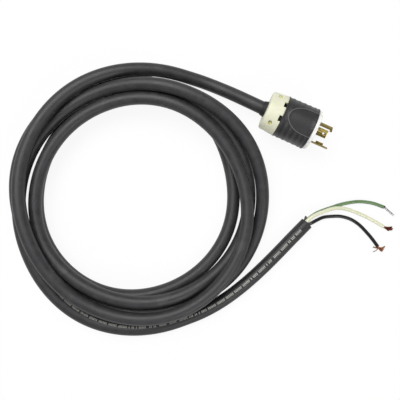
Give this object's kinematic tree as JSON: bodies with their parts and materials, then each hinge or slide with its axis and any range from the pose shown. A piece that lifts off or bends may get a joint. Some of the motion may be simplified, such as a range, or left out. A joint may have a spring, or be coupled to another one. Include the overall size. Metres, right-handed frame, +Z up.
{
  "type": "shore power cord",
  "caption": "Coiled three-core shore power cord with a locking three-blade plug at one end and a cut, stripped end for wiring in.",
  "frame": {"origin": "on the floor under the middle of the plug, halfway between the collar's rear and the ground blade's tip", "axes": "+X is the way the blades point, +Y is to the plug's left seen from behind, +Z is up; the upper clamp jaw and its screw heads face up"},
  "size_m": [0.5015, 0.3773, 0.054],
  "materials": {
    "shell_black": "moulded black nylon, fine satin grain",
    "face_white": "moulded white nylon, satin",
    "clamp_cream": "moulded cream nylon, satin",
    "blade_brass": "dull blanked brass",
    "terminal_brass": "blanked brass, brighter than the blades",
    "screw_steel": "zinc-plated steel",
    "screw_green": "green-dyed ground screw",
    "sleeve_rubber": "matt black rubber",
    "jacket_black": "charcoal flexible jacket, satin with soft highlights",
    "core_green": "green core insulation, semi-gloss",
    "core_white": "off-white core insulation, semi-gloss",
    "core_black": "black core insulation, semi-gloss",
    "copper": "bare copper strands",
    "dark_copper": "oxidised dark copper strands",
    "tinned_copper": "twisted strands dipped in solder",
    "filler_grey": "twisted fibre filler"
  },
  "bodies": {
    "plug": {"housing_shell": "shell_black", "front_face": "face_white", "terminal_block": "face_white", "ground_blade": "blade_brass", "hot_blade": "blade_brass", "neutral_blade": "blade_brass", "ground_plate": "terminal_brass", "hot_plate": "terminal_brass", "neutral_plate": "terminal_brass", "terminal_screws": "screw_steel", "ground_screw": "screw_green", "assembly_screws": "screw_steel", "cord_clamp_lower": "clamp_cream", "clamp_nuts": "screw_steel", "cord_sleeve": "sleeve_rubber", "inner_green_core": "core_green", "inner_black_core": "core_black", "inner_white_core": "core_white", "terminal_wire_ends": "copper", "cable_root": "jacket_black", "cable_lead": "jacket_black", "cable_coil": "jacket_black", "cable_tail": "jacket_black", "green_core": "core_green", "white_core": "core_white", "black_core": "core_black", "tinned_end": "tinned_copper", "white_copper_end": "dark_copper", "black_copper_end": "copper", "filler_cords": "filler_grey"},
    "clamp_jaw": {"cord_clamp_upper": "clamp_cream", "clamp_screws": "screw_steel"}
  },
  "joints": [
    {"name": "clamp_lift", "type": "slide", "parent": "plug", "child": "clamp_jaw", "axis": [0, 0, 1], "range_m": [0, 0.004]}
  ]
}
